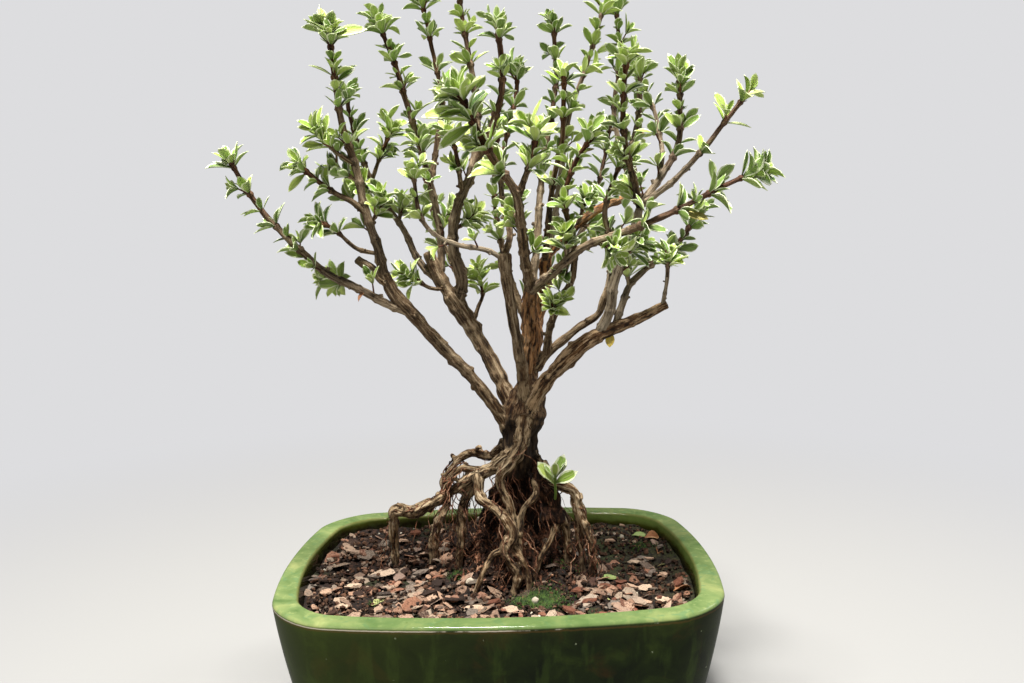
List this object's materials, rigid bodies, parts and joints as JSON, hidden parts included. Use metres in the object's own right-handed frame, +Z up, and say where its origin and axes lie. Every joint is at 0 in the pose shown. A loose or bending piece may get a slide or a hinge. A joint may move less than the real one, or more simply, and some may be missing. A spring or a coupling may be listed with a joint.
{
  "type": "serissa bonsai",
  "caption": "Miniature tree with exposed arching roots, slender upswept boughs and small cream-edged leaves, growing in a rounded rectangular green glazed pot.",
  "frame": {"origin": "under the middle of the whole part's bounding box, on the surface that the pot's feet stand on", "axes": "+Z up, the part's tallest way; -Y toward the viewer, so +Y is its shortest way; +X to the viewer's right along the pot"},
  "size_m": [0.2526, 0.1698, 0.377],
  "materials": {
    "glaze": "gloss glaze, light yellow-green on the rim and very dark green on the sides",
    "potting_mix": "damp bark-based potting mix with reddish bark chips, grit and moss",
    "bark": "rough flaky grey-brown bark",
    "leafy_stem": "satin green leaves with cream margins on reddish brown twigs",
    "mesh_plastic": "matt black mesh"
  },
  "bodies": {
    "root": {"pot": "glaze", "drain_screen_left": "mesh_plastic", "drain_screen_right": "mesh_plastic", "roots_trunk_and_boughs": "bark", "soil": "potting_mix", "shoot_left_low": "leafy_stem", "shoot_left_tall": "leafy_stem", "shoot_left_side": "leafy_stem", "shoot_left_twig": "leafy_stem", "shoot_left_outer": "leafy_stem", "shoot_left_crossing": "leafy_stem", "shoot_left_inner": "leafy_stem", "shoot_second_tall": "leafy_stem", "shoot_second_high": "leafy_stem", "shoot_second_main": "leafy_stem", "shoot_second_twig": "leafy_stem", "shoot_dead_twig": "leafy_stem", "shoot_middle_tuft": "leafy_stem", "shoot_middle_tall": "leafy_stem", "shoot_knob_trail": "leafy_stem", "shoot_knob_rise": "leafy_stem", "shoot_front_diagonal": "leafy_stem", "shoot_front_right": "leafy_stem", "shoot_right_long": "leafy_stem", "shoot_right_rise": "leafy_stem", "shoot_right_outer": "leafy_stem", "shoot_right_mid": "leafy_stem", "shoot_right_stub_twig": "leafy_stem", "shoot_right_inner": "leafy_stem", "shoot_right_back": "leafy_stem", "shoot_right_grey": "leafy_stem", "shoot_red_right": "leafy_stem", "shoot_top_right": "leafy_stem", "shoot_grey_diagonal": "leafy_stem", "shoot_red_centre": "leafy_stem", "shoot_centre_tall": "leafy_stem", "shoot_fork_rise": "leafy_stem", "shoot_fork_tuft": "leafy_stem", "shoot_rough_tuft": "leafy_stem", "shoot_back_left_shoot": "leafy_stem", "shoot_back_middle_shoot": "leafy_stem", "shoot_back_right_shoot": "leafy_stem", "shoot_root_sprout": "leafy_stem", "spur_left_low": "leafy_stem", "spur_left_tall": "leafy_stem", "spur_left_tall_high": "leafy_stem", "spur_crossing": "leafy_stem", "spur_crossing_high": "leafy_stem", "spur_second_tall": "leafy_stem", "spur_second_main": "leafy_stem", "spur_front": "leafy_stem", "spur_long": "leafy_stem", "spur_long_far": "leafy_stem", "spur_rise": "leafy_stem", "spur_rise_high": "leafy_stem", "spur_right_mid": "leafy_stem", "spur_fork": "leafy_stem", "spur_rough": "leafy_stem"}
  },
  "joints": []
}
